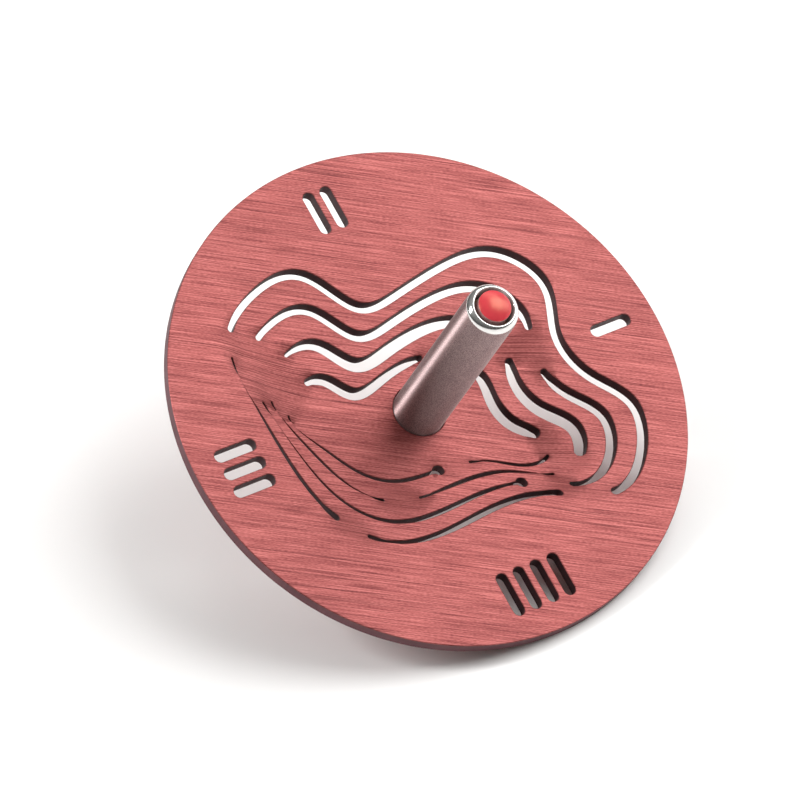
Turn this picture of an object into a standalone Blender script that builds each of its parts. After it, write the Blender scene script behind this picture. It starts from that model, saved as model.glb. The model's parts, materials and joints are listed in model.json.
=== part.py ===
"""Disc spinning top: a pierced plate on a tube stem, which turns round a spindle inside the stem.

Metres, +Z up. The top lies as it rests on a table, on its tip and on the rim of its disc, leaning
towards -Y. Every piece is modelled in the disc's own frame, whose origin is the middle of the
plate's thickness at the centre of the outer ring and whose +Z runs up the stem. One empty on the
spin axis then leans them all. Plan shapes of the disc are worked out in millimetres.
"""

import math

import bmesh
import bpy
import numpy as np
from mathutils.geometry import delaunay_2d_cdt

MM = 0.001

# Disc, in millimetres
DISC_RADIUS = 40.0
PLATE = 2.0
STEM_HOLE_RADIUS = 4.1
RIM_FACETS = 120
TERRACE_DROP = 1.25
TERRACES = 4
FOLD_HALF_WIDTH = 3.3

# Stem tube, in millimetres; heights count from the middle of the plate in the outer ring
TUBE_RADIUS = 4.0
TUBE_BORE = 3.0
TUBE_TOP = 30.6
TUBE_LENGTH = 49.6
LIP_START_RADIUS = 3.12
LIP_ARCS = ((0.43, 90, 42), (2.48, 42, 24), (1.595, 24, 0))
LIP_STEPS = 5
FOOT_ROUND = 0.75
INNER_ROUND = 0.12

# Spindle and its bearings, in millimetres
PIN_RADIUS = 1.5
RUNNING_GAP = 0.1
SEAT_GAP = 0.15
END_GAP = 0.3
BUSH_LENGTH = 7.5
BUSH_WALL = 1.25
WASHER = 0.5
BUTTON_RADIUS = 2.5
BUTTON_BODY = 2.6
BUTTON_DOME = 0.85
BUTTON_STAND = 0.2
TIP_RADIUS = 2.6
TIP_CENTRE = -19.0
TIP_SHOULDER = 1.7
SOCKET_DEPTH = 1.7

# Collar under the disc, in millimetres
COLLAR_FLANGE_RADIUS = 6.5
COLLAR_FLANGE = 1.2
COLLAR_BOSS_RADIUS = 5.6
COLLAR_HEIGHT = 4.5

TURNING_STEPS = 40
SMALL_STEPS = 32
ROUND_STEPS = 3
DOME_STEPS = 5
TIP_STEPS = 8
SHARP_ANGLE = math.radians(32)
WELD_DISTANCE = 0.000001

# The slots follow nested terraces between these two outlines: points of closed splines, in millimetres
OUTER_TERRACE = [
    (-32, 7), (-25.5, 16), (-18, 20.5), (-10, 12), (-4.5, 16), (4, 22.5), (12, 26.5), (21.5, 21),
    (19.5, 12), (25, 5), (33.5, 3), (33, -8), (28, -14.5), (18, -13), (9, -16.5), (1, -22),
    (-8, -25), (-17, -20.5), (-22.5, -12), (-27, -3),
]
INNER_TERRACE = [
    (-21.5, -2.5), (-18.5, 2.5), (-14.5, 4.5), (-10, 0), (-5.3, 5), (0.5, 8.9), (6, 9.3), (10.5, 6.2),
    (11, 2), (14, -2), (19.5, -2.5), (20, -6.5), (15.5, -8.5), (10, -7.3), (5, -8.5), (0, -10.7),
    (-5, -12.7), (-10.5, -11.5), (-15, -8), (-19, -5.5),
]
# Each slot: terrace, start and end along its spline, widths at its start, middle and end, and the
# radius of its start where that is bulbous
SLOTS = [
    (0, 0.2, 11.9, (1.0, 1.15, 1.3)),
    (0, 12.9, 16.3, (1.3, 1.3, 0.8)),
    (0, 16.9, 19.7, (1.2, 1.0, 0.3)),
    (1, 0.6, 7.3, (0.9, 1.2, 1.1)),
    (1, 8.4, 12.2, (1.0, 1.3, 1.1)),
    (1, 13.2, 19.2, (0.7, 1.1, 0.3), 0.9),
    (2, 1.0, 6.3, (0.6, 1.8, 0.9)),
    (2, 7.5, 10.8, (1.2, 1.9, 1.7)),
    (2, 12.0, 15.3, (0.5, 1.0, 0.4)),
    (2, 16.2, 19.6, (0.5, 1.0, 0.3)),
    (3, 1.3, 5.0, (1.0, 1.4, 0.8)),
    (3, 6.7, 9.7, (1.1, 1.7, 1.4)),
    (3, 11.0, 13.6, (0.5, 1.0, 0.4)),
    (3, 14.6, 19.8, (0.7, 1.1, 0.3), 0.9),
]
SLOT_POINT_SPACING = 1.5
SAMPLES_PER_POINT = 8
END_STEPS = 5

# Game marks: one to four strokes, a quarter turn apart
MARK_RADIUS = 32.4
MARK_ANGLE = math.radians(25.6)
STROKE_LENGTH = 7.0
STROKE_WIDTH = 1.9
STROKE_PITCH = 3.0

# How the disc's pattern is turned from the disc's own frame
PATTERN_TURN = math.radians(-34)
GRID = 2.6
CLEAR_OF_EDGES = 0.75

COLOURS = {
    "disc": ((0.560, 0.110, 0.115), 0.38, 1.0),
    "stem_tube": ((0.360, 0.330, 0.320), 0.42, 1.0),
    "finger_button": ((0.800, 0.050, 0.045), 0.18, 0.0),
    "spindle": ((0.620, 0.620, 0.630), 0.25, 1.0),
    "upper_bush": ((0.720, 0.500, 0.220), 0.40, 1.0),
    "lower_bush": ((0.720, 0.500, 0.220), 0.40, 1.0),
    "tip": ((0.620, 0.620, 0.630), 0.20, 1.0),
    "thrust_washer": ((0.850, 0.840, 0.800), 0.50, 0.0),
    "hub_collar": ((0.560, 0.560, 0.570), 0.40, 1.0),
}


def clear_scene():
    for thing in list(bpy.data.objects):
        bpy.data.objects.remove(thing, do_unlink=True)


def make_collection(name):
    collection = bpy.data.collections.new(name)
    bpy.context.scene.collection.children.link(collection)
    return collection


def make_material(name):
    colour, roughness, metallic = COLOURS[name]
    material = bpy.data.materials.new(name)
    material.use_nodes = True
    shader = material.node_tree.nodes["Principled BSDF"]
    shader.inputs["Base Color"].default_value = (*colour, 1.0)
    shader.inputs["Roughness"].default_value = roughness
    shader.inputs["Metallic"].default_value = metallic
    return material


def add_object(name, mesh, collection, parent):
    thing = bpy.data.objects.new(name, mesh)
    mesh.materials.append(make_material(name))
    collection.objects.link(thing)
    thing.parent = parent


def finished_mesh(name, shape):
    """The mesh of a shape, smooth all over but for its sharp edges."""
    bmesh.ops.recalc_face_normals(shape, faces=shape.faces[:])
    mesh = bpy.data.meshes.new(name)
    shape.to_mesh(mesh)
    shape.free()
    mesh.shade_smooth()
    mesh.set_sharp_from_angle(angle=SHARP_ANGLE)
    return mesh


def turned(name, profile, collection, parent, steps, hollow):
    """A turned piece: a profile of (radius, height) down its outer side, closed where it is hollow."""
    shape = bmesh.new()
    points = [shape.verts.new((r * MM, 0, z * MM)) for r, z in profile]
    following = points[1:] + points[:1] if hollow else points[1:]
    edges = [shape.edges.new(pair) for pair in zip(points, following)]
    bmesh.ops.spin(shape, geom=points + edges, axis=(0, 0, 1), angle=math.tau, steps=steps, use_merge=True)
    bmesh.ops.remove_doubles(shape, verts=shape.verts[:], dist=WELD_DISTANCE)
    add_object(name, finished_mesh(name, shape), collection, parent)


def arc(centre, radius, start, end, steps):
    """Points (radius, height) round a corner, from one angle to another in degrees."""
    turns = [math.radians(start + (end - start) * i / steps) for i in range(steps + 1)]
    return [(centre[0] + radius * math.cos(a), centre[1] + radius * math.sin(a)) for a in turns]


def arc_chain(start, arcs, steps):
    """Points from a start round arcs that run smoothly into each other: each a radius and two angles."""
    points = [start]
    for radius, begin, end in arcs:
        angle = math.radians(begin)
        across, height = points[-1]
        centre = (across - radius * math.cos(angle), height - radius * math.sin(angle))
        points += arc(centre, radius, begin, end, steps)[1:]
    return points


# ---- plan of the disc, in millimetres ----


def spline_point(points, t):
    """A point on the closed cubic spline through a ring of control points, t counting the points."""
    index = math.floor(t)
    f = t - index
    weights = ((1 - f) ** 3, 3 * f**3 - 6 * f**2 + 4, -3 * f**3 + 3 * f**2 + 3 * f + 1, f**3)
    ring = [points[(index + k) % len(points)] for k in (-1, 0, 1, 2)]
    return sum(w * p for w, p in zip(weights, ring)) / 6


def terrace_ring(level):
    inward = level / (TERRACES - 1)
    return (1 - inward) * np.array(OUTER_TERRACE, float) + inward * np.array(INNER_TERRACE, float)


def smooth_step(x):
    x = np.clip(x, 0, 1)
    return x * x * (3 - 2 * x)


def ribbon(points, widths, start_radius=0.0):
    """The outline of a slot along a line of points, with round ends that may be wider than the slot."""
    points = np.array(points, float)
    along = np.gradient(points, axis=0)
    along /= np.linalg.norm(along, axis=1)[:, None]
    half_widths = np.array(widths) / 2
    side = np.column_stack([-along[:, 1], along[:, 0]]) * half_widths[:, None]

    def round_end(centre, edge, radius):
        left = edge / np.linalg.norm(edge)
        forward = np.array([left[1], -left[0]])
        neck = math.asin(min(1, np.linalg.norm(edge) / radius))
        count = round(END_STEPS * 2 * (1 - neck / math.pi)) + 1
        turns = np.linspace(math.pi - neck, neck - math.pi, count)
        return [centre + radius * (left * math.sin(a) + forward * math.cos(a)) for a in turns]

    return np.array([
        *(points + side)[1:-1],
        *round_end(points[-1], side[-1], half_widths[-1]),
        *(points - side)[-2:0:-1],
        *round_end(points[0], -side[0], max(half_widths[0], start_radius)),
    ])


def slot_width(widths, share):
    """The width of a slot at a share of its length, curving through its three widths."""
    start, middle, end = widths
    start_part = start * (1 - share) * (1 - 2 * share)
    return start_part + 4 * middle * share * (1 - share) + end * share * (2 * share - 1)


def slot_outline(level, start, end, widths, start_radius=0.0):
    ring = terrace_ring(level)
    rough = np.array([spline_point(ring, t) for t in np.linspace(start, end, 60)])
    length = np.linalg.norm(np.diff(rough, axis=0), axis=1).sum()
    count = max(6, round(length / SLOT_POINT_SPACING))
    points = [spline_point(ring, t) for t in np.linspace(start, end, count)]
    return ribbon(points, slot_width(widths, np.linspace(0, 1, count)), start_radius)


def mark_outlines():
    """The strokes of the four game marks: one stroke, then two, three and four."""
    outlines = []
    for strokes in range(1, 5):
        angle = MARK_ANGLE + (strokes - 1) * math.pi / 2
        out = np.array([math.cos(angle), math.sin(angle)])
        across = np.array([-out[1], out[0]])
        reach = (STROKE_LENGTH - STROKE_WIDTH) / 2
        for stroke in range(strokes):
            centre = MARK_RADIUS * out + (stroke - (strokes - 1) / 2) * STROKE_PITCH * across
            outlines.append(ribbon([centre - reach * out, centre + reach * out], [STROKE_WIDTH] * 2))
    return outlines


def circle_points(radius, count, first_angle):
    turns = first_angle + np.arange(count) * math.tau / count
    return radius * np.column_stack([np.cos(turns), np.sin(turns)])


def terrace_line(level):
    """Points all along one terrace, and how wide the fold is at each: a slot's width where one is cut."""
    ring = terrace_ring(level)
    turns = np.arange(len(ring) * SAMPLES_PER_POINT) / SAMPLES_PER_POINT
    half_widths = np.full(len(turns), FOLD_HALF_WIDTH)
    for slot_level, start, end, widths, *_ in SLOTS:
        if slot_level != level:
            continue
        slot_half = slot_width(widths, np.clip((turns - start) / (end - start), 0, 1)) / 2
        cut = smooth_step((turns - start + 0.3) / 0.7) * smooth_step((end - turns + 0.3) / 0.7)
        half_widths += cut * (slot_half - half_widths)
    return np.array([spline_point(ring, t) for t in turns]), half_widths


def inside_outline(points, outline):
    """Which points lie inside a closed outline, by counting the sides a ray crosses."""
    ends = np.roll(outline, -1, axis=0)
    x, y = points[:, 0, None], points[:, 1, None]
    spans = (outline[:, 1] > y) != (ends[:, 1] > y)
    rise = np.where(ends[:, 1] == outline[:, 1], 1.0, ends[:, 1] - outline[:, 1])
    meets = outline[:, 0] + (y - outline[:, 1]) * (ends[:, 0] - outline[:, 0]) / rise
    return (spans & (x < meets)).sum(1) % 2 == 1


def terrace_depth(points, level):
    """How far each point has gone down one terrace's step, from 0 outside it to 1 inside."""
    line, half_widths = terrace_line(level)
    sides = np.roll(line, -1, axis=0) - line
    offsets = points[:, None, :] - line
    share = np.clip((offsets * sides).sum(2) / (sides * sides).sum(1), 0, 1)
    gaps = np.linalg.norm(offsets - share[..., None] * sides, axis=2)
    nearest = gaps.argmin(1)
    gap = gaps[np.arange(len(points)), nearest]
    signed = np.where(inside_outline(points, line), gap, -gap)
    return smooth_step(signed / half_widths[nearest] / 2 + 0.5)


def plate_height(points):
    """The height of the middle of the plate: each terrace steps down towards the stem."""
    return -TERRACE_DROP * sum(terrace_depth(points, level) for level in range(TERRACES))


def fold_points():
    """Points across each fold, where a terrace's step crosses uncut plate."""
    points = []
    for level in range(TERRACES):
        line, half_widths = terrace_line(level)
        along = np.roll(line, -1, axis=0) - np.roll(line, 1, axis=0)
        along /= np.linalg.norm(along, axis=1)[:, None]
        across = np.column_stack([-along[:, 1], along[:, 0]])
        folds = [i for i in range(0, len(line), 2) if half_widths[i] > 0.6 * FOLD_HALF_WIDTH]
        points += [line[i] + across[i] * half_widths[i] * s for i in folds for s in (-1, -0.5, 0, 0.5, 1)]
    return np.array(points)


def grid_points():
    """An even grid under the terraces, so that the plate has points to bend at."""
    reach = np.arange(-DISC_RADIUS, DISC_RADIUS, GRID)
    grid = np.array([(x, y) for x in reach for y in reach])
    terrace = terrace_line(0)[0]
    return grid[inside_outline(grid, terrace)]


def keep_clear(points, taken, clearance):
    """The points that keep a clearance from the taken ones and from each other."""
    kept = list(taken)
    fresh = []
    for point in points:
        if np.linalg.norm(np.array(kept) - point, axis=1).min() > clearance:
            kept.append(point)
            fresh.append(point)
    return np.array(fresh)


def turn_plan(points, angle):
    cosine, sine = math.cos(angle), math.sin(angle)
    return points @ np.array([[cosine, sine], [-sine, cosine]])


def disc_plan():
    """The pierced plate as triangles in plan, with the outline points first."""
    low_side = -math.pi / 2 - PATTERN_TURN
    rim = circle_points(DISC_RADIUS, RIM_FACETS, low_side + math.pi / RIM_FACETS)
    holes = [slot_outline(*slot) for slot in SLOTS] + mark_outlines()
    holes.append(circle_points(STEM_HOLE_RADIUS, TURNING_STEPS, 0))
    outlines = [rim, *holes]
    edges = []
    first = 0
    for outline in outlines:
        count = len(outline)
        edges += [(first + i, first + (i + 1) % count) for i in range(count)]
        first += count
    edge_points = np.vstack(outlines)
    loose = np.vstack([fold_points(), grid_points()])
    for hole in holes:
        loose = loose[~inside_outline(loose, hole)]
    points = np.vstack([edge_points, keep_clear(loose, edge_points, CLEAR_OF_EDGES)])
    plan, _, triangles, *_ = delaunay_2d_cdt([tuple(p) for p in points], edges, [], 0, 0.00001)
    plan = np.array([tuple(p) for p in plan])
    middles = plan[np.array(triangles)].mean(axis=1)
    in_a_hole = np.any([inside_outline(middles, hole) for hole in holes], axis=0)
    return plan, [t for t, gone in zip(triangles, in_a_hole) if not gone]


def make_disc(collection, parent):
    """The plate: its plan made into a slab, then let down in steps towards the stem."""
    plan, triangles = disc_plan()
    heights = plate_height(plan)
    placed = turn_plan(plan, PATTERN_TURN)
    shape = bmesh.new()
    tops = np.column_stack([placed, heights + PLATE / 2]) * MM
    vertices = [shape.verts.new(point) for point in tops]
    for triangle in triangles:
        shape.faces.new([vertices[i] for i in triangle])
    made = bmesh.ops.extrude_face_region(shape, geom=shape.faces[:])
    lower = [part for part in made["geom"] if isinstance(part, bmesh.types.BMVert)]
    bmesh.ops.translate(shape, verts=lower, vec=(0, 0, -PLATE * MM))
    loose = [vertex for vertex in shape.verts if not vertex.link_faces]
    bmesh.ops.delete(shape, geom=loose, context="VERTS")
    add_object("disc", finished_mesh("disc", shape), collection, parent)


# ---- turned pieces ----


def make_stem_tube(collection, parent):
    bottom = TUBE_TOP - TUBE_LENGTH
    outer, inner = FOOT_ROUND, INNER_ROUND
    profile = [
        *arc_chain((LIP_START_RADIUS, TUBE_TOP), LIP_ARCS, LIP_STEPS),
        *arc((TUBE_RADIUS - outer, bottom + outer), outer, 0, -90, ROUND_STEPS),
        *arc((TUBE_BORE + inner, bottom + inner), inner, -90, -180, ROUND_STEPS),
        *arc((TUBE_BORE + inner, TUBE_TOP - inner), inner, 180, 90, ROUND_STEPS)[:-1],
    ]
    turned("stem_tube", profile, collection, parent, TURNING_STEPS, hollow=True)


def button_underside():
    return TUBE_TOP + BUTTON_STAND - BUTTON_BODY


def make_finger_button(collection, parent):
    """A low domed button with a socket in its underside for the pin."""
    shoulder = TUBE_TOP + BUTTON_STAND
    under = button_underside()
    dome_radius = (BUTTON_RADIUS**2 + BUTTON_DOME**2) / (2 * BUTTON_DOME)
    dome_centre = shoulder + BUTTON_DOME - dome_radius
    spread = math.degrees(math.asin(BUTTON_RADIUS / dome_radius))
    socket = PIN_RADIUS + SEAT_GAP
    profile = [
        *arc((0, dome_centre), dome_radius, 90, 90 - spread, DOME_STEPS),
        (BUTTON_RADIUS, under),
        (socket, under),
        (socket, under + SOCKET_DEPTH),
        (0, under + SOCKET_DEPTH),
    ]
    turned("finger_button", profile, collection, parent, TURNING_STEPS, hollow=False)


def make_tip(collection, parent):
    """The round-ended foot, with a socket in its top for the pin."""
    top = TIP_CENTRE + TIP_SHOULDER
    socket = PIN_RADIUS + SEAT_GAP
    profile = [
        (0, top - SOCKET_DEPTH),
        (socket, top - SOCKET_DEPTH),
        (socket, top),
        (TIP_RADIUS, top),
        *arc((0, TIP_CENTRE), TIP_RADIUS, 0, -90, TIP_STEPS),
    ]
    turned("tip", profile, collection, parent, TURNING_STEPS, hollow=False)


def make_spindle(collection, parent):
    """The pin that joins the button to the tip."""
    top = button_underside() + SOCKET_DEPTH - END_GAP
    bottom = TIP_CENTRE + TIP_SHOULDER - SOCKET_DEPTH + END_GAP
    profile = [(0, top), (PIN_RADIUS, top), (PIN_RADIUS, bottom), (0, bottom)]
    turned("spindle", profile, collection, parent, SMALL_STEPS, hollow=False)


def make_sleeve(name, top, length, outer_radius, inner_radius, collection, parent):
    profile = [
        (outer_radius, top),
        (outer_radius, top - length),
        (inner_radius, top - length),
        (inner_radius, top),
    ]
    turned(name, profile, collection, parent, SMALL_STEPS, hollow=True)


def make_bearings(collection, parent):
    """Two plain bushes in the tube, and the washer that the tip's shoulder bears on."""
    bore = PIN_RADIUS + RUNNING_GAP
    upper_top = button_underside() - END_GAP
    washer_top = TIP_CENTRE + TIP_SHOULDER + END_GAP + WASHER
    lower_top = washer_top + END_GAP + BUSH_LENGTH
    make_sleeve("upper_bush", upper_top, BUSH_LENGTH, bore + BUSH_WALL, bore, collection, parent)
    make_sleeve("lower_bush", lower_top, BUSH_LENGTH, bore + BUSH_WALL, bore, collection, parent)
    make_sleeve("thrust_washer", washer_top, WASHER, TIP_RADIUS, bore, collection, parent)


def make_hub_collar(collection, parent):
    """The collar that holds the plate square on the tube, under the lowest terrace."""
    top = -TERRACES * TERRACE_DROP - PLATE / 2 - END_GAP / 2
    bore = TUBE_RADIUS + SEAT_GAP
    profile = [
        (COLLAR_FLANGE_RADIUS, top),
        (COLLAR_FLANGE_RADIUS, top - COLLAR_FLANGE),
        (COLLAR_BOSS_RADIUS, top - COLLAR_FLANGE),
        (COLLAR_BOSS_RADIUS, top - COLLAR_HEIGHT),
        (bore, top - COLLAR_HEIGHT),
        (bore, top),
    ]
    turned("hub_collar", profile, collection, parent, TURNING_STEPS, hollow=True)


def leaning_frame():
    """An empty on the spin axis, set so that the rim and the tip both touch the table."""
    facet_radius = DISC_RADIUS * math.cos(math.pi / RIM_FACETS)
    tip_below_rim = -TIP_CENTRE - PLATE / 2
    slant = math.atan2(tip_below_rim, facet_radius)
    lean = slant + math.asin(TIP_RADIUS / math.hypot(tip_below_rim, facet_radius))
    height = facet_radius * math.sin(lean) + PLATE / 2 * math.cos(lean)
    frame = bpy.data.objects.new("spin_axis", None)
    frame.location = (0, 0, height * MM)
    frame.rotation_euler = (lean, 0, 0)
    return frame


def main():
    clear_scene()
    collection = make_collection("spinning_top")
    frame = leaning_frame()
    collection.objects.link(frame)
    make_disc(collection, frame)
    make_stem_tube(collection, frame)
    make_hub_collar(collection, frame)
    make_bearings(collection, frame)
    make_spindle(collection, frame)
    make_finger_button(collection, frame)
    make_tip(collection, frame)
    bpy.context.view_layer.update()


main()
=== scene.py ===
"""Looks for the disc spinning top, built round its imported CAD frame. Metres, +Z up.

Every piece is modelled in the top's own frame: its origin is the middle of the plate's thickness at
the centre of the outer ring, and its +Z runs up the stem. The plan of the disc is in millimetres.
"""

import json
import math

import bmesh
import bpy
import numpy as np
from mathutils import Matrix, Vector
from mathutils.geometry import delaunay_2d_cdt


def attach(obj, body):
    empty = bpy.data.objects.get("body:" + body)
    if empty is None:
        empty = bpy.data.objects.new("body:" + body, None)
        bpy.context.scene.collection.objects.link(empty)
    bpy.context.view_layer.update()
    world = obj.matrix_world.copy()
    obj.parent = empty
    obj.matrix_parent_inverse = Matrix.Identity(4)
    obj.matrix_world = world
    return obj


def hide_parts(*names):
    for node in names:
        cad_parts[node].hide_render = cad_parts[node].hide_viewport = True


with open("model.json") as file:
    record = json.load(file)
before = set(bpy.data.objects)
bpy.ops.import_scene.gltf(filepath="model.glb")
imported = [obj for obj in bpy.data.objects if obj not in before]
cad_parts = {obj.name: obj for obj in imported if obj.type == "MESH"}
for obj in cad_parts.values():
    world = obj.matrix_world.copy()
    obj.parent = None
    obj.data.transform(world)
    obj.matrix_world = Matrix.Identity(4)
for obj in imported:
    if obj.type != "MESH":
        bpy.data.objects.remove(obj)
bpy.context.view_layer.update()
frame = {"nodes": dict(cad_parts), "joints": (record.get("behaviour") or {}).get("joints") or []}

# A millimetre in metres
MM = 0.001

# Disc, in millimetres
DISC_RADIUS = 40.0
RIM_FACETS = 120
PLATE = 2.0
STEM_HOLE_RADIUS = 4.1
TERRACE_DROP = 1.25
TERRACES = 4
EDGE_BREAK = 0.11

# Stem tube, in millimetres; heights count from the middle of the plate in the outer ring. The arcs of
# its lip are each a radius and the angles it starts and ends at, and the polish goes a little below them.
# Its top stays just inside the CAD's.
TUBE_RADIUS = 4.0
TUBE_BORE = 3.0
TUBE_TOP = 30.6
TUBE_LENGTH = 49.6
LIP_START_RADIUS = 3.2
LIP_ARCS = ((0.15, 90, 57), (1.7, 57, 32), (1.329, 32, 0))
LIP_POLISHED = 1.07
FOOT_ROUND = 0.75
INNER_ROUND = 0.2
INSIDE_CAD = 0.006

# Button, tip and collar, in millimetres
SOCKET_RADIUS = 1.65
SOCKET_DEPTH = 1.7
BUTTON_RADIUS = 2.5
BUTTON_BODY = 2.6
BUTTON_DOME = 0.85
BUTTON_STAND = 0.2
BUTTON_ROUND = 0.18
TIP_RADIUS = 2.6
TIP_CENTRE = -19.0
TIP_SHOULDER = 1.7
COLLAR_TOP = -6.15
COLLAR_BORE = 4.15
COLLAR_FLANGE_RADIUS = 6.5
COLLAR_FLANGE = 1.2
COLLAR_BOSS_RADIUS = 5.6
COLLAR_HEIGHT = 4.5
COLLAR_BREAK = 0.15

# Edges bent more than this are sharp
SHARP_ANGLE = math.radians(30)

# Steps round the turned pieces, the radius below which a point is on their axis, in millimetres, and steps
# along the arcs of their profiles
TURNING_STEPS = 128
ON_AXIS = 1e-6
ROUND_STEPS = 8
DOME_STEPS = 16
FOOT_STEPS = 24
CHAMFER_STEPS = 4

# The slots follow nested terraces between these two outlines: points of closed splines, in millimetres
OUTER_TERRACE = [
    (-32, 7), (-25.5, 16), (-18, 20.5), (-10, 12), (-4.5, 16), (4, 22.5), (12, 26.5), (21.5, 21),
    (19.5, 12), (25, 5), (33.5, 3), (33, -8), (28, -14.5), (18, -13), (9, -16.5), (1, -22),
    (-8, -25), (-17, -20.5), (-22.5, -12), (-27, -3),
]
INNER_TERRACE = [
    (-21.5, -2.5), (-18.5, 2.5), (-14.5, 4.5), (-10, 0), (-5.3, 5), (0.5, 8.9), (6, 9.3), (10.5, 6.2),
    (11, 2), (14, -2), (19.5, -2.5), (20, -6.5), (15.5, -8.5), (10, -7.3), (5, -8.5), (0, -10.7),
    (-5, -12.7), (-10.5, -11.5), (-15, -8), (-19, -5.5),
]
# Each slot: terrace, start and end along its spline, widths at its start, middle and end, and the
# radius of its start where that is bulbous
SLOTS = [
    (0, 0.2, 11.9, (1.0, 1.15, 1.3)),
    (0, 12.9, 16.3, (1.3, 1.3, 0.8)),
    (0, 16.9, 19.7, (1.2, 1.0, 0.3)),
    (1, 0.6, 7.3, (0.9, 1.2, 1.1)),
    (1, 8.4, 12.2, (1.0, 1.3, 1.1)),
    (1, 13.2, 19.2, (0.7, 1.1, 0.3), 0.9),
    (2, 1.0, 6.3, (0.6, 1.8, 0.9)),
    (2, 7.5, 10.8, (1.2, 1.9, 1.7)),
    (2, 12.0, 15.3, (0.5, 1.0, 0.4)),
    (2, 16.2, 19.6, (0.5, 1.0, 0.3)),
    (3, 1.3, 5.0, (1.0, 1.4, 0.8)),
    (3, 6.7, 9.7, (1.1, 1.7, 1.4)),
    (3, 11.0, 13.6, (0.5, 1.0, 0.4)),
    (3, 14.6, 19.8, (0.7, 1.1, 0.3), 0.9),
]
SLOT_POINT_SPACING = 0.4
SLOT_LENGTH_SAMPLES = 60
END_STEPS = 12

# Game marks: one to four strokes, a quarter turn apart
MARK_RADIUS = 32.4
MARK_ANGLE = math.radians(25.6)
STROKE_LENGTH = 7.0
STROKE_WIDTH = 1.9
STROKE_PITCH = 3.0
STROKE_POINTS = 10

# How the whole pattern and the brushing are turned about the stem, and how deep a brushed streak goes
PATTERN_TURN = math.radians(-34)
BRUSH_TURN = math.radians(-37.5)
THROUGH = 60.0

# The fold along a terrace: its half width in millimetres, how many spline places before a slot it starts
# to narrow, over how many it does, and the samples taken in each place
FOLD_HALF_WIDTH = 3.3
FOLD_LEAD = 0.3
FOLD_EASE = 0.7
SAMPLES_PER_POINT = 14

# The points the plate bends at, in millimetres; the fine grid reaches past the outer terrace by a factor
GRID = 0.85
GRID_REACH = 1.08
RING_GRID = 5.0
RIM_MARGIN = 2.0
CLEAR_OF_EDGES = 0.35
PLAN_MERGE = 0.00001

# Camera and lights, in metres; the lens is in millimetres
CAMERA_AZIMUTH = math.radians(-131.64)
CAMERA_ELEVATION = math.radians(41.7)
CAMERA_DISTANCE = 1.25
CAMERA_LENS = 385.0
CAMERA_CLIP = 0.05
CAMERA_AIM_LEFT = 0.0041
CAMERA_AIM_DOWN = 0.0002
LIGHT_TARGET = (0, 0, 0.02)
FLOOR_REACH = 6.0

# The sky: its weakest and its full strength, and how nearly a direction has to face its brightest place
# for the full strength
SKY_WEAKEST = 0.10
SKY_FULL = 0.35
SKY_FULL_FACING = 0.8

# Sockets of the Mix node for colours, which share their names with others
MIX_FACTOR, MIX_FIRST, MIX_SECOND, MIX_RESULT = 0, 6, 7, 2


# ---- helpers ----


def top_frame():
    """The top's own frame in the row frame: along the spin axis, at the joint's place."""
    spin = next(joint for joint in frame["joints"] if joint["name"] == "spin")
    turn = Vector((0, 0, 1)).rotation_difference(Vector(spin["axis"]))
    return Matrix.Translation(Vector(spin["pos_m"])) @ turn.to_matrix().to_4x4()


def add_piece(name, mesh, materials, body, slot, *nodes):
    """A finished piece, in place, riding on its body and standing for its CAD nodes."""
    mesh.transform(TOP_FRAME)
    for material in materials:
        mesh.materials.append(material)
    piece = bpy.data.objects.new(name, mesh)
    bpy.context.scene.collection.objects.link(piece)
    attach(piece, body)
    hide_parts(*nodes)
    return piece


def finished_mesh(name, shape):
    """A mesh from a bmesh, smooth but for its sharp edges."""
    bmesh.ops.recalc_face_normals(shape, faces=shape.faces[:])
    mesh = bpy.data.meshes.new(name)
    shape.to_mesh(mesh)
    shape.free()
    mesh.shade_smooth()
    mesh.set_sharp_from_angle(angle=SHARP_ANGLE)
    return mesh


def arc(centre, radius, start, end, steps=ROUND_STEPS):
    """Points (radius, height) round a corner, from one angle to another in degrees."""
    turns = [math.radians(start + (end - start) * i / steps) for i in range(steps + 1)]
    return [(centre[0] + radius * math.cos(a), centre[1] + radius * math.sin(a)) for a in turns]


def arc_chain(start, arcs):
    """Points from a start round arcs that run smoothly into each other: each a radius and two angles."""
    points = [start]
    for radius, begin, end in arcs:
        angle = math.radians(begin)
        across, height = points[-1]
        centre = (across - radius * math.cos(angle), height - radius * math.sin(angle))
        points += arc(centre, radius, begin, end)[1:]
    return points


def turned(name, profile, hollow=False, material_of=lambda radius, height: 0):
    """A turned mesh from (radius, height) points, with a material chosen by radius and height."""
    shape = bmesh.new()
    rings = []
    for radius, height in profile:
        if radius < ON_AXIS:
            rings.append([shape.verts.new((0, 0, height * MM))] * TURNING_STEPS)
        else:
            ring = circle_points(radius, TURNING_STEPS)
            rings.append([shape.verts.new((x * MM, y * MM, height * MM)) for x, y in ring])
    following = rings[1:] + rings[:1] if hollow else rings[1:]
    for ring, next_ring in zip(rings, following):
        for i in range(TURNING_STEPS):
            corners = dict.fromkeys([ring[i - 1], ring[i], next_ring[i], next_ring[i - 1]])
            face = shape.faces.new(list(corners))
            middle = sum((corner.co for corner in corners), Vector()) / len(corners)
            face.material_index = material_of(math.hypot(middle.x, middle.y) / MM, middle.z / MM)
    return finished_mesh(name, shape)


# ---- plan of the disc, in millimetres ----


def spline_points(points, places):
    """Points on the closed cubic spline through a ring of control points."""
    places = np.asarray(places, float)
    index = np.floor(places).astype(int)
    f = (places - index)[:, None]
    weights = ((1 - f) ** 3, 3 * f**3 - 6 * f**2 + 4, -3 * f**3 + 3 * f**2 + 3 * f + 1, f**3)
    ring = [points[(index + k) % len(points)] for k in (-1, 0, 1, 2)]
    return sum(w * p for w, p in zip(weights, ring)) / 6


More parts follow.
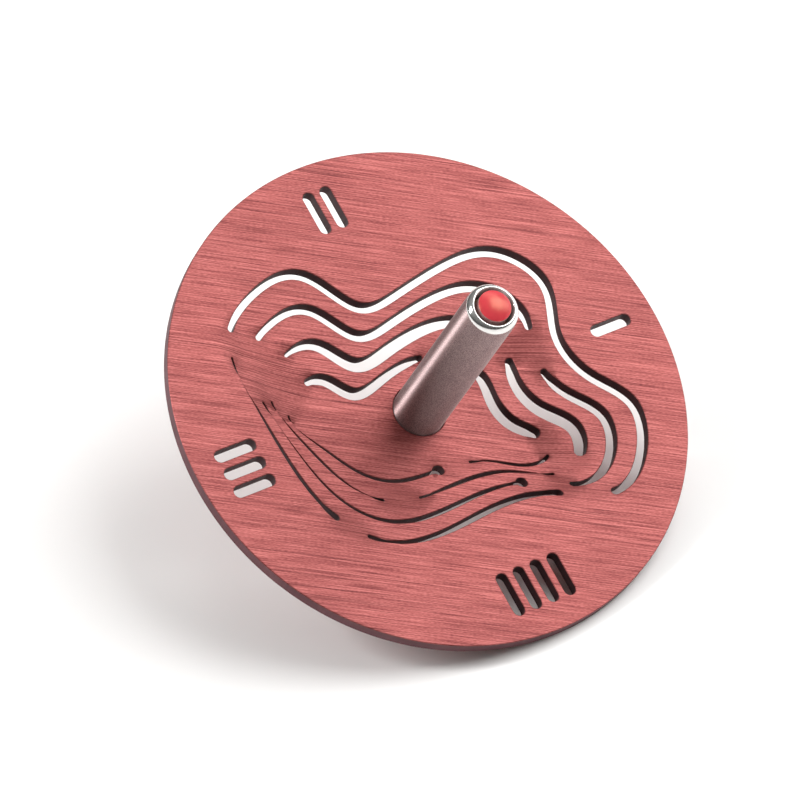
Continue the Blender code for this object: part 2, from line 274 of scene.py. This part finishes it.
def terrace_ring(level):
    """The spline's points for one terrace, from the outer (0) to the inner."""
    inward = level / (TERRACES - 1)
    return (1 - inward) * np.array(OUTER_TERRACE, float) + inward * np.array(INNER_TERRACE, float)


def smooth_step(x):
    x = np.clip(x, 0, 1)
    return x * x * (3 - 2 * x)


def ribbon(points, widths, start_radius=0.0, grown=0.0):
    """The outline of a slot along a line of points, with round ends, grown all round by an amount."""
    points = np.array(points, float)
    along = np.gradient(points, axis=0)
    along /= np.linalg.norm(along, axis=1)[:, None]
    half_widths = np.array(widths) / 2 + grown
    side = np.column_stack([-along[:, 1], along[:, 0]]) * half_widths[:, None]
    start_radius = max(half_widths[0], start_radius + grown)
    neck = math.sqrt(start_radius**2 - half_widths[0] ** 2)
    beyond = np.linalg.norm(points - points[0], axis=1) > neck
    beyond[0] = beyond[-1] = False

    def round_end(centre, edge, radius):
        left = edge / np.linalg.norm(edge)
        forward = np.array([left[1], -left[0]])
        half_angle = math.asin(min(1, np.linalg.norm(edge) / radius))
        turns = np.linspace(math.pi - half_angle, half_angle - math.pi, 2 * END_STEPS + 1)
        return [centre + radius * (left * math.sin(a) + forward * math.cos(a)) for a in turns]

    return np.array([
        *(points + side)[beyond],
        *round_end(points[-1], side[-1], half_widths[-1]),
        *(points - side)[beyond][::-1],
        *round_end(points[0], -side[0], start_radius),
    ])


def slot_width(widths, share):
    """The width of a slot at a share of its length, curving through its three widths."""
    start, middle, end = widths
    start_part = start * (1 - share) * (1 - 2 * share)
    return start_part + 4 * middle * share * (1 - share) + end * share * (2 * share - 1)


def slot_outline(grown, level, start, end, widths, start_radius=0.0):
    """The outline of one slot of the table, grown all round by an amount."""
    ring = terrace_ring(level)
    rough = spline_points(ring, np.linspace(start, end, SLOT_LENGTH_SAMPLES))
    length = np.linalg.norm(np.diff(rough, axis=0), axis=1).sum()
    count = round(length / SLOT_POINT_SPACING)
    points = spline_points(ring, np.linspace(start, end, count))
    return ribbon(points, slot_width(widths, np.linspace(0, 1, count)), start_radius, grown)


def mark_outlines(grown):
    """The strokes of the four game marks: one stroke, then two, three and four."""
    outlines = []
    for strokes in range(1, 5):
        angle = MARK_ANGLE + (strokes - 1) * math.pi / 2
        out = np.array([math.cos(angle), math.sin(angle)])
        across = np.array([-out[1], out[0]])
        reach = (STROKE_LENGTH - STROKE_WIDTH) / 2
        places = np.linspace(-reach, reach, STROKE_POINTS)[:, None] * out
        for stroke in range(strokes):
            centre = MARK_RADIUS * out + (stroke - (strokes - 1) / 2) * STROKE_PITCH * across
            outlines.append(ribbon(centre + places, [STROKE_WIDTH] * STROKE_POINTS, grown=grown))
    return outlines


def circle_points(radius, count):
    turns = np.arange(count) * math.tau / count
    return radius * np.column_stack([np.cos(turns), np.sin(turns)])


def hole_outlines(grown):
    """Everything cut through the plate: the slots, the game marks and the stem's hole."""
    holes = [slot_outline(grown, *slot) for slot in SLOTS] + mark_outlines(grown)
    holes.append(circle_points(STEM_HOLE_RADIUS + grown, TURNING_STEPS))
    return holes


def terrace_line(level):
    """Points all along one terrace, and how wide the fold is at each: a slot's width where one is cut."""
    ring = terrace_ring(level)
    turns = np.arange(len(ring) * SAMPLES_PER_POINT) / SAMPLES_PER_POINT
    half_widths = np.full(len(turns), FOLD_HALF_WIDTH)
    for slot_level, start, end, widths, *_ in SLOTS:
        if slot_level != level:
            continue
        slot_half = slot_width(widths, np.clip((turns - start) / (end - start), 0, 1)) / 2
        begun = smooth_step((turns - start + FOLD_LEAD) / FOLD_EASE)
        cut = begun * smooth_step((end - turns + FOLD_LEAD) / FOLD_EASE)
        half_widths += cut * (slot_half - half_widths)
    return spline_points(ring, turns), half_widths


def inside_outline(points, outline):
    """Which points lie inside a closed outline, by counting the sides a ray crosses."""
    low, high = outline.min(0), outline.max(0)
    inside = np.all((points > low) & (points < high), axis=1)
    near = points[inside]
    ends = np.roll(outline, -1, axis=0)
    x, y = near[:, 0, None], near[:, 1, None]
    spans = (outline[:, 1] > y) != (ends[:, 1] > y)
    rise = np.where(ends[:, 1] == outline[:, 1], 1.0, ends[:, 1] - outline[:, 1])
    meets = outline[:, 0] + (y - outline[:, 1]) * (ends[:, 0] - outline[:, 0]) / rise
    inside[inside] = (spans & (x < meets)).sum(1) % 2 == 1
    return inside


def terrace_depth(points, level):
    """How far each point has gone down one terrace's step, from 0 outside it to 1 inside."""
    line, half_widths = terrace_line(level)
    sides = np.roll(line, -1, axis=0) - line
    offsets = points[:, None, :] - line
    share = np.clip((offsets * sides).sum(2) / (sides * sides).sum(1), 0, 1)
    gaps = np.linalg.norm(offsets - share[..., None] * sides, axis=2)
    nearest = gaps.argmin(1)
    rows = np.arange(len(points))
    gap = gaps[rows, nearest]
    following = np.roll(half_widths, -1)
    along = share[rows, nearest]
    half_width = (1 - along) * half_widths[nearest] + along * following[nearest]
    signed = np.where(inside_outline(points, line), gap, -gap)
    return smooth_step(signed / half_width / 2 + 0.5)


def plate_height(points):
    """The height of the middle of the plate: each terrace steps down towards the stem."""
    return -TERRACE_DROP * sum(terrace_depth(points, level) for level in range(TERRACES))


def loose_points():
    """Points for the plate to bend at: an even grid, close under the terraces and open in the ring."""
    fine = np.arange(-DISC_RADIUS, DISC_RADIUS, GRID)
    fine = np.array([(x + GRID * (i % 2) / 2, y) for i, y in enumerate(fine) for x in fine])
    border = terrace_line(0)[0] * GRID_REACH
    middle = fine[inside_outline(fine, border)]
    coarse = np.arange(-DISC_RADIUS, DISC_RADIUS, RING_GRID)
    coarse = np.array([(x, y) for x in coarse for y in coarse])
    open_ring = ~inside_outline(coarse, border) & (np.hypot(*coarse.T) < DISC_RADIUS - RIM_MARGIN)
    return np.vstack([middle, coarse[open_ring]])


def keep_clear(points, taken, clearance):
    """The points that keep a clearance from the taken ones."""
    return np.array([p for p in points if np.linalg.norm(taken - p, axis=1).min() > clearance])


def turn_plan(points, angle):
    """Points of the plan, turned about the stem."""
    cosine, sine = math.cos(angle), math.sin(angle)
    return points @ np.array([[cosine, sine], [-sine, cosine]])


def disc_plan():
    """The pierced plate as triangles in plan. The first points are its wall outlines, with their sizes."""
    rim_radius = DISC_RADIUS * math.cos(math.pi / RIM_FACETS)
    rim_count = 4 * RIM_FACETS
    walls = [circle_points(rim_radius, rim_count), *hole_outlines(0)]
    breaks = [circle_points(rim_radius - EDGE_BREAK, rim_count), *hole_outlines(EDGE_BREAK)]
    outlines = walls + breaks
    edges = []
    first = 0
    for outline in outlines:
        count = len(outline)
        edges += [(first + i, first + (i + 1) % count) for i in range(count)]
        first += count
    edge_points = np.vstack(outlines)
    loose = loose_points()
    for hole in walls[1:]:
        loose = loose[~inside_outline(loose, hole)]
    points = np.vstack([edge_points, keep_clear(loose, edge_points, CLEAR_OF_EDGES)])
    plan, _, triangles, *_ = delaunay_2d_cdt([tuple(p) for p in points], edges, [], 0, PLAN_MERGE)
    plan = np.array([tuple(p) for p in plan])
    middles = plan[np.array(triangles)].mean(axis=1)
    in_a_hole = np.any([inside_outline(middles, hole) for hole in walls[1:]], axis=0)
    wall_count = sum(len(outline) for outline in walls)
    return plan, [t for t, gone in zip(triangles, in_a_hole) if not gone], wall_count


def make_disc_mesh():
    """Both faces of the plate with their broken edges (material 0), the cut walls (1, painted shade) and
    the rim (2, painted light).
    """
    plan, triangles, wall_count = disc_plan()
    heights = plate_height(plan)
    placed = turn_plan(plan, PATTERN_TURN)
    thickness = np.full(len(plan), PLATE / 2)
    thickness[:wall_count] -= EDGE_BREAK
    shape = bmesh.new()
    sheets = []
    for side in (1, -1):
        surface = np.column_stack([placed, heights + side * thickness]) * MM
        sheets.append([shape.verts.new(point) for point in surface])
    for upper, lower, last in triangles:
        shape.faces.new([sheets[0][upper], sheets[0][lower], sheets[0][last]])
        shape.faces.new([sheets[1][last], sheets[1][lower], sheets[1][upper]])
    open_edges = [edge for edge in shape.edges if len(edge.link_faces) == 1]
    partner = dict(zip(sheets[0], sheets[1]))
    for edge in open_edges:
        start, end = edge.verts
        if start in partner:
            wall = shape.faces.new([end, start, partner[start], partner[end]])
            # The rim gets the cut surface's lighter copy, painted light, and the slot walls its darker
            # copy, painted shade
            on_rim = math.hypot(start.co.x, start.co.y) > (DISC_RADIUS - 2 * EDGE_BREAK) * MM
            wall.material_index = 2 if on_rim else 1
    unused = [vertex for vertex in shape.verts if not vertex.link_faces]
    bmesh.ops.delete(shape, geom=unused, context="VERTS")
    return finished_mesh("disc_plate", shape)


# ---- materials: colours are linear, and lengths are in millimetres ----


class Nodes:
    """A material's node tree, with short ways to add and join nodes.

    The colour and roughness it starts with are for viewers that don't read the nodes.
    """

    def __init__(self, name, base, roughness, metallic):
        self.material = bpy.data.materials.new(name)
        self.material.use_nodes = True
        self.tree = self.material.node_tree
        self.shader = self.tree.nodes["Principled BSDF"]
        self.shader.inputs["Base Color"].default_value = (*base, 1)
        self.shader.inputs["Roughness"].default_value = roughness
        self.shader.inputs["Metallic"].default_value = metallic

    def add(self, kind, **inputs):
        """A new node, with plain values for its inputs."""
        node = self.tree.nodes.new(kind)
        for name, value in inputs.items():
            node.inputs[name].default_value = value
        return node

    def place(self, along, across, deep=None, turn=0.0):
        """The top's own coordinates, turned about the stem, in steps of the given millimetres."""
        own_frame = TOP_FRAME @ Matrix.Rotation(turn, 4, "Z")
        sizes = (along * MM, across * MM, (deep or across) * MM)
        mapping = self.add(
            "ShaderNodeMapping", Location=own_frame.translation, Rotation=own_frame.to_euler(), Scale=sizes
        )
        mapping.vector_type = "TEXTURE"
        coordinates = self.tree.nodes.new("ShaderNodeTexCoord")
        self.tree.links.new(coordinates.outputs["Object"], mapping.inputs["Vector"])
        return mapping.outputs["Vector"]

    def noise(self, vector, detail=2.0, roughness=0.5):
        """Noise whose grains are one step of the given place."""
        node = self.add("ShaderNodeTexNoise", Scale=1.0, Detail=detail, Roughness=roughness)
        self.tree.links.new(vector, node.inputs["Vector"])
        return node.outputs["Fac"]

    def ramp(self, value, *stops):
        """A colour ramp: stops of (position, grey or colour)."""
        node = self.tree.nodes.new("ShaderNodeValToRGB")
        self.tree.links.new(value, node.inputs["Fac"])
        elements = node.color_ramp.elements
        while len(elements) < len(stops):
            elements.new(0.5)
        for element, (position, colour) in zip(elements, stops):
            element.position = position
            element.color = (colour,) * 3 + (1,) if isinstance(colour, (int, float)) else (*colour, 1)
        return node.outputs["Color"]

    def maths(self, operation, first, second):
        """A sum or product of a value with another value or a number."""
        node = self.tree.nodes.new("ShaderNodeMath")
        node.operation = operation
        for socket, value in zip(node.inputs, (first, second)):
            if isinstance(value, bpy.types.NodeSocket):
                self.tree.links.new(value, socket)
            else:
                socket.default_value = value
        return node.outputs["Value"]

    def layered(self, *layers):
        """The sum of several noises, each given with its share."""
        total = None
        for noise, share in layers:
            part = self.maths("MULTIPLY", noise, share)
            total = part if total is None else self.maths("ADD", total, part)
        return total

    def tinted(self, colour, tint):
        """One colour multiplied by another."""
        node = self.tree.nodes.new("ShaderNodeMix")
        node.data_type = "RGBA"
        node.blend_type = "MULTIPLY"
        node.inputs[MIX_FACTOR].default_value = 1.0
        self.tree.links.new(colour, node.inputs[MIX_FIRST])
        self.tree.links.new(tint, node.inputs[MIX_SECOND])
        return node.outputs[MIX_RESULT]

    def finish(self, colour, roughness, bump, bump_mm, strength):
        """The material, once its colour, roughness and bump are joined to the shader."""
        self.tree.links.new(colour, self.shader.inputs["Base Color"])
        self.tree.links.new(roughness, self.shader.inputs["Roughness"])
        node = self.add("ShaderNodeBump", Strength=strength, Distance=bump_mm * MM)
        self.tree.links.new(bump, node.inputs["Height"])
        self.tree.links.new(node.outputs["Normal"], self.shader.inputs["Normal"])
        return self.material


def brushed_red():
    """Red anodised aluminium, brushed one way: hairlines, soft bands, grain and sparse long scratches."""
    nodes = Nodes("red_anodised_brushed", (0.40, 0.10, 0.095), roughness=0.42, metallic=0.45)
    nodes.shader.inputs["Specular IOR Level"].default_value = 0.2

    def streaks(length, width, detail):
        return nodes.noise(nodes.place(length, width, THROUGH, turn=BRUSH_TURN), detail)

    hairs = streaks(6.0, 0.11, detail=1)
    long_hairs = streaks(22.0, 0.15, detail=1)
    bands = streaks(26.0, 1.4, detail=2)
    grain = streaks(0.50, 0.11, detail=0)
    tone = nodes.layered((hairs, 0.42), (long_hairs, 0.32), (bands, 0.06), (grain, 0.20))
    colour = nodes.ramp(
        tone,
        (0.35, (0.145, 0.029, 0.029)),
        (0.43, (0.226, 0.052, 0.050)),
        (0.51, (0.309, 0.080, 0.074)),
        (0.63, (0.443, 0.135, 0.123)),
    )
    blotches = nodes.ramp(streaks(30.0, 14.0, detail=2), (0.3, (0.93, 0.93, 0.94)), (0.7, 1.0))
    scratches = nodes.ramp(streaks(40.0, 0.18, detail=0), (0.33, (0.66, 0.60, 0.61)), (0.39, 1.0))
    colour = nodes.tinted(nodes.tinted(colour, blotches), scratches)
    roughness = nodes.ramp(tone, (0.38, 0.52), (0.60, 0.40))
    return nodes.finish(colour, roughness, tone, bump_mm=0.01, strength=0.3)


def cut_red(name, low, middle, high):
    """A cut wall: maroon, with the faint upright lines that the cutting jet leaves."""
    nodes = Nodes(name, middle, roughness=0.55, metallic=0.5)
    lines = nodes.noise(nodes.place(0.22, 0.22, 3.0), detail=3, roughness=0.6)
    patches = nodes.noise(nodes.place(4.0, 4.0))
    tone = nodes.layered((lines, 0.6), (patches, 0.4))
    colour = nodes.ramp(tone, (0.35, low), (0.5, middle), (0.68, high))
    roughness = nodes.ramp(lines, (0.3, 0.45), (0.7, 0.65))
    return nodes.finish(colour, roughness, lines, bump_mm=0.03, strength=0.4)


def satin_steel():
    """Steel tube with a fine satin grain, turned in the lathe so that reflections smear along it."""
    nodes = Nodes("steel_satin", (0.44, 0.335, 0.335), roughness=0.44, metallic=1.0)
    nodes.shader.inputs["Anisotropic"].default_value = 0.95
    along = nodes.add("ShaderNodeCombineXYZ", **dict(zip("XYZ", TOP_FRAME.col[2])))
    nodes.tree.links.new(along.outputs["Vector"], nodes.shader.inputs["Tangent"])
    grain = nodes.noise(nodes.place(0.13, 0.13), detail=0)
    clouds = nodes.noise(nodes.place(1.6, 1.6, 3.0))
    tone = nodes.layered((grain, 0.85), (clouds, 0.15))
    colour = nodes.ramp(
        tone,
        (0.38, (0.36, 0.270, 0.268)),
        (0.50, (0.485, 0.370, 0.367)),
        (0.62, (0.63, 0.50, 0.49)),
    )
    roughness = nodes.ramp(tone, (0.38, 0.49), (0.62, 0.39))
    return nodes.finish(colour, roughness, grain, bump_mm=0.01, strength=0.25)


def polished_steel(name, base=(0.78, 0.77, 0.75)):
    """Steel polished in the lathe, with rings too fine to see but as a soft smear."""
    nodes = Nodes(name, base, roughness=0.12, metallic=1.0)
    fine = nodes.noise(nodes.place(0.35, 0.35, 0.05), detail=3, roughness=0.6)
    wear = nodes.noise(nodes.place(1.4, 1.4), detail=3)
    colour = nodes.ramp(wear, (0.35, tuple(0.90 * c for c in base)), (0.6, base))
    roughness = nodes.ramp(fine, (0.3, 0.09), (0.7, 0.18))
    return nodes.finish(colour, roughness, fine, bump_mm=0.003, strength=0.2)


def pale_bore():
    """The inside of the tube: pale and dull, lighter than bare steel as painted light in the shaded bore.
    """
    nodes = Nodes("steel_bore_painted_light", (0.70, 0.65, 0.62), roughness=0.5, metallic=0.1)
    drawn = nodes.noise(nodes.place(0.18, 0.18, 4.0), detail=3, roughness=0.6)
    colour = nodes.ramp(drawn, (0.35, (0.62, 0.57, 0.54)), (0.65, (0.78, 0.73, 0.70)))
    roughness = nodes.ramp(drawn, (0.3, 0.42), (0.7, 0.6))
    return nodes.finish(colour, roughness, drawn, bump_mm=0.01, strength=0.3)


def red_plastic():
    """Glossy moulded orange-red plastic, slightly uneven, with a few fine handling marks."""
    nodes = Nodes("plastic_red_gloss", (0.60, 0.030, 0.054), roughness=0.33, metallic=0.0)
    nodes.shader.inputs["Specular Tint"].default_value = (1, 0.75, 0.45, 1)
    nodes.shader.inputs["Specular IOR Level"].default_value = 1.0
    nodes.shader.inputs["Subsurface Weight"].default_value = 0.08
    nodes.shader.inputs["Subsurface Radius"].default_value = (0.0012, 0.0004, 0.0003)
    soft = nodes.noise(nodes.place(1.6, 1.6))
    marks = nodes.noise(nodes.place(0.9, 0.09, 0.3, turn=0.6), detail=3, roughness=0.65)
    colour = nodes.ramp(soft, (0.3, (0.56, 0.025, 0.048)), (0.7, (0.64, 0.036, 0.060)))
    roughness = nodes.ramp(marks, (0.35, 0.35), (0.65, 0.31))
    return nodes.finish(colour, roughness, soft, bump_mm=0.01, strength=0.15)


def shaded_skirt():
    """The side of the button below its dome: its red plastic darkened and browned as painted shade, with
    faint upright drag marks.
    """
    nodes = Nodes("plastic_red_skirt_painted_shade", (0.34, 0.18, 0.17), roughness=0.5, metallic=0.0)
    drag = nodes.noise(nodes.place(0.15, 0.15, 1.5), detail=3, roughness=0.6)
    colour = nodes.ramp(drag, (0.35, (0.26, 0.13, 0.125)), (0.65, (0.42, 0.24, 0.23)))
    roughness = nodes.ramp(drag, (0.3, 0.42), (0.7, 0.6))
    return nodes.finish(colour, roughness, drag, bump_mm=0.01, strength=0.3)


def turned_metal(name, dark, light, ring_mm, rough):
    """Plain turned metal: fine tool rings round the axis and slight staining."""
    nodes = Nodes(name, light, rough, metallic=1.0)
    rings = nodes.noise(nodes.place(6.0, 6.0, ring_mm), detail=3, roughness=0.6)
    stains = nodes.noise(nodes.place(2.2, 2.2), detail=4, roughness=0.6)
    tone = nodes.layered((rings, 0.5), (stains, 0.5))
    colour = nodes.ramp(tone, (0.35, dark), (0.62, light))
    roughness = nodes.ramp(tone, (0.35, rough + 0.1), (0.65, rough - 0.06))
    return nodes.finish(colour, roughness, rings, bump_mm=0.01, strength=0.3)


def moulded_white():
    """Natural white plastic with a dull moulded skin."""
    nodes = Nodes("plastic_white_matt", (0.80, 0.79, 0.74), roughness=0.5, metallic=0.0)
    skin = nodes.noise(nodes.place(0.12, 0.12), detail=3, roughness=0.6)
    tint = nodes.noise(nodes.place(3.0, 3.0))
    colour = nodes.ramp(tint, (0.3, (0.74, 0.73, 0.67)), (0.7, (0.84, 0.83, 0.79)))
    roughness = nodes.ramp(skin, (0.3, 0.44), (0.7, 0.58))
    return nodes.finish(colour, roughness, skin, bump_mm=0.01, strength=0.3)


# ---- pieces ----


def make_disc():
    """The plate: brushed faces, cut walls darkened as painted shade and a rim lightened as painted light.
    """
    # Painted shade: the slot walls are the rim's cut surface, darkened for the shade inside the slots
    shaded_slot_wall = cut_red(
        "red_anodised_cut_painted_shade",
        low=(0.030, 0.006, 0.008),
        middle=(0.048, 0.011, 0.013),
        high=(0.075, 0.022, 0.024),
    )
    # Painted light: the same cut surface, made lighter on the rim as if lit
    rim = cut_red(
        "red_anodised_rim_painted_light",
        low=(0.085, 0.026, 0.032),
        middle=(0.120, 0.042, 0.050),
        high=(0.165, 0.068, 0.075),
    )
    materials = [brushed_red(), shaded_slot_wall, rim]
    add_piece("disc_plate", make_disc_mesh(), materials, "rotor", "red_anodised", "disc")


def make_stem_tube():
    """The tube: satin outside, a polished mouth with a soft shoulder, and a dull bore lightened as painted
    light.
    """
    bottom = TUBE_TOP - TUBE_LENGTH
    profile = [
        *arc_chain((LIP_START_RADIUS, TUBE_TOP - INSIDE_CAD), LIP_ARCS),
        *arc((TUBE_RADIUS - FOOT_ROUND, bottom + FOOT_ROUND), FOOT_ROUND, 0, -90),
        *arc((TUBE_BORE + INNER_ROUND, bottom + INNER_ROUND), INNER_ROUND, -90, -180),
        *arc((TUBE_BORE + INNER_ROUND, TUBE_TOP - INSIDE_CAD - INNER_ROUND), INNER_ROUND, 180, 90)[:-1],
    ]

    def material_of(radius, height):
        """2 in the bore, 1 where the ends are polished, and 0 elsewhere."""
        if radius < TUBE_BORE + INNER_ROUND / 4:
            return 2
        return int(height > TUBE_TOP - LIP_POLISHED or height < bottom + FOOT_ROUND)

    mesh = turned("stem_body", profile, hollow=True, material_of=material_of)
    materials = [satin_steel(), polished_steel("steel_polished"), pale_bore()]
    add_piece("stem_body", mesh, materials, "rotor", "satin_steel", "stem_tube")


def make_finger_button():
    """A low domed button whose edge is just rounded, with its side painted as shade and a socket in its
    underside.
    """
    shoulder = TUBE_TOP + BUTTON_STAND
    under = shoulder - BUTTON_BODY
    dome_radius = (BUTTON_RADIUS**2 + BUTTON_DOME**2) / (2 * BUTTON_DOME)
    dome_centre = shoulder + BUTTON_DOME - dome_radius
    round_centre_radius = BUTTON_RADIUS - BUTTON_ROUND
    reach = dome_radius - BUTTON_ROUND
    round_centre = dome_centre + math.sqrt(reach**2 - round_centre_radius**2)
    meet = math.degrees(math.atan2(round_centre - dome_centre, round_centre_radius))
    profile = [
        *arc((0, dome_centre), dome_radius, 90, meet, DOME_STEPS),
        *arc((round_centre_radius, round_centre), BUTTON_ROUND, meet, 0)[1:],
        (BUTTON_RADIUS, under),
        (SOCKET_RADIUS, under),
        (SOCKET_RADIUS, under + SOCKET_DEPTH),
        (0, under + SOCKET_DEPTH),
    ]
    # Below the shoulder the button's side takes the painted-shade copy of its plastic
    mesh = turned("button_dome", profile, material_of=lambda radius, height: int(height < shoulder))
    materials = [red_plastic(), shaded_skirt()]
    add_piece("button_dome", mesh, materials, "spindle_core", "red_plastic", "finger_button")


def make_tip():
    """The round-ended foot, with a socket in its top for the pin."""
    top = TIP_CENTRE + TIP_SHOULDER
    profile = [
        (0, top - SOCKET_DEPTH),
        (SOCKET_RADIUS, top - SOCKET_DEPTH),
        (SOCKET_RADIUS, top),
        (TIP_RADIUS - COLLAR_BREAK, top),
        (TIP_RADIUS, top - COLLAR_BREAK),
        *arc((0, TIP_CENTRE), TIP_RADIUS, 0, -90, FOOT_STEPS),
    ]
    materials = [polished_steel("steel_ground")]
    add_piece("tip_foot", turned("tip_foot", profile), materials, "spindle_core", "bright_steel", "tip")


def make_hub_collar():
    """The flanged collar under the disc, with its corners broken."""
    top, bottom, flange = COLLAR_TOP, COLLAR_TOP - COLLAR_HEIGHT, COLLAR_TOP - COLLAR_FLANGE
    chamfer = COLLAR_BREAK
    profile = [
        (COLLAR_FLANGE_RADIUS - chamfer, top),
        (COLLAR_FLANGE_RADIUS, top - chamfer),
        (COLLAR_FLANGE_RADIUS, flange + chamfer),
        (COLLAR_FLANGE_RADIUS - chamfer, flange),
        *arc((COLLAR_BOSS_RADIUS + chamfer, flange - chamfer), chamfer, 90, 180, CHAMFER_STEPS),
        (COLLAR_BOSS_RADIUS, bottom + 2 * chamfer),
        (COLLAR_BOSS_RADIUS - 2 * chamfer, bottom),
        (COLLAR_BORE + chamfer, bottom),
        (COLLAR_BORE, bottom + chamfer),
        (COLLAR_BORE, top),
    ]
    mesh = turned("collar_turned", profile, hollow=True)
    metal = turned_metal(
        "aluminium_turned", dark=(0.42, 0.42, 0.43), light=(0.62, 0.62, 0.63), ring_mm=0.12, rough=0.34
    )
    add_piece("collar_turned", mesh, [metal], "rotor", "bare_aluminium", "hub_collar")


def finish_hidden_nodes():
    """The bearing pieces inside the tube keep their CAD shapes and get their own materials."""
    # Painted shade: the bushes' bronze is darkened so that it reads as the shade deep inside the tube
    bronze = turned_metal(
        "bronze_painted_shade", dark=(0.10, 0.065, 0.045), light=(0.17, 0.115, 0.075), ring_mm=0.10, rough=0.5
    )
    steel = polished_steel("steel_pin", base=(0.66, 0.66, 0.67))
    white = moulded_white()
    finishes = {"upper_bush": bronze, "lower_bush": bronze, "spindle": steel, "thrust_washer": white}
    for node, material in finishes.items():
        mesh = frame["nodes"][node].data
        mesh.materials.clear()
        mesh.materials.append(material)


# ---- studio ----


def make_floor():
    """A pale paper floor, far larger than the view."""
    mesh = bpy.data.meshes.new("floor")
    corners = [(x * FLOOR_REACH, y * FLOOR_REACH, 0) for x, y in ((-1, -1), (1, -1), (1, 1), (-1, 1))]
    mesh.from_pydata(corners, [], [(0, 1, 2, 3)])
    floor = bpy.data.objects.new("floor", mesh)
    bpy.context.scene.collection.objects.link(floor)
    paper = Nodes("paper_white", (0.90, 0.895, 0.885), roughness=0.9, metallic=0.0)
    paper.shader.inputs["Specular IOR Level"].default_value = 0.1
    mesh.materials.append(paper.material)


def aimed(thing, place, target):
    """Puts a light or camera at a place, pointing at a target."""
    thing.location = place
    thing.rotation_euler = (Vector(target) - Vector(place)).to_track_quat("-Z", "Y").to_euler()
    bpy.context.scene.collection.objects.link(thing)


def make_light(name, place, size, power):
    """A rectangular soft light, pointing at the top."""
    data = bpy.data.lights.new(name, "AREA")
    data.shape = "RECTANGLE"
    data.size, data.size_y = size
    data.energy = power
    light = bpy.data.objects.new(name, data)
    aimed(light, place, LIGHT_TARGET)


def view_axes():
    """Unit vectors on the ground to the camera's right and away from it."""
    away = -Vector((math.cos(CAMERA_AZIMUTH), math.sin(CAMERA_AZIMUTH), 0))
    return Vector((away.y, -away.x, 0)), away


def make_world(right, away, up):
    """Soft light that is strongest from above and a little behind, and weak from the camera's side."""
    world = bpy.data.worlds.new("studio")
    world.use_nodes = True
    tree = world.node_tree
    background = tree.nodes["Background"]
    background.inputs["Color"].default_value = (1, 0.995, 0.985, 1)
    coordinates = tree.nodes.new("ShaderNodeTexCoord")
    facing = tree.nodes.new("ShaderNodeVectorMath")
    facing.operation = "DOT_PRODUCT"
    brightest = (right * 0.10 + away * 0.15 + up * 0.98).normalized()
    facing.inputs[1].default_value = brightest
    strength = tree.nodes.new("ShaderNodeMapRange")
    strength.inputs["From Max"].default_value = SKY_FULL_FACING
    strength.inputs["To Min"].default_value = SKY_WEAKEST
    strength.inputs["To Max"].default_value = SKY_FULL
    tree.links.new(coordinates.outputs["Generated"], facing.inputs[0])
    tree.links.new(facing.outputs["Value"], strength.inputs["Value"])
    tree.links.new(strength.outputs["Result"], background.inputs["Strength"])
    bpy.context.scene.world = world


def make_lights():
    """A key above and to the right, fills behind and low on the right, and a strip down the left."""
    right, away = view_axes()
    up = Vector((0, 0, 1))
    make_world(right, away, up)
    make_light("key", (right * 0.52 + away * 0.18 + up * 0.82) * 0.80, size=(0.65, 0.65), power=5.7)
    make_light("back_fill", right * 0.1 + away * 0.75 + up * 0.75, size=(0.8, 0.5), power=1.9)
    make_light("right_low", right * 1.0 + away * 0.45 + up * 0.40, size=(0.7, 0.4), power=2.6)
    make_light("left_strip", (right * -0.80 - away * 0.10 + up * 0.58) * 1.2, size=(0.17, 0.6), power=10)
    bpy.context.scene.view_settings.view_transform = "Standard"


def make_camera():
    """The camera at the photo's viewing angle."""
    data = bpy.data.cameras.new("camera")
    data.lens = CAMERA_LENS
    data.clip_start = CAMERA_CLIP
    camera = bpy.data.objects.new("camera", data)
    right, away = view_axes()
    ahead = away * math.cos(CAMERA_ELEVATION) - Vector((0, 0, math.sin(CAMERA_ELEVATION)))
    up = right.cross(ahead)
    target = TOP_FRAME.translation - right * CAMERA_AIM_LEFT - up * CAMERA_AIM_DOWN
    aimed(camera, target - ahead * CAMERA_DISTANCE, target)
    bpy.context.scene.camera = camera


TOP_FRAME = top_frame()
make_disc()
make_stem_tube()
make_finger_button()
make_tip()
make_hub_collar()
finish_hidden_nodes()
make_floor()
make_lights()
make_camera()
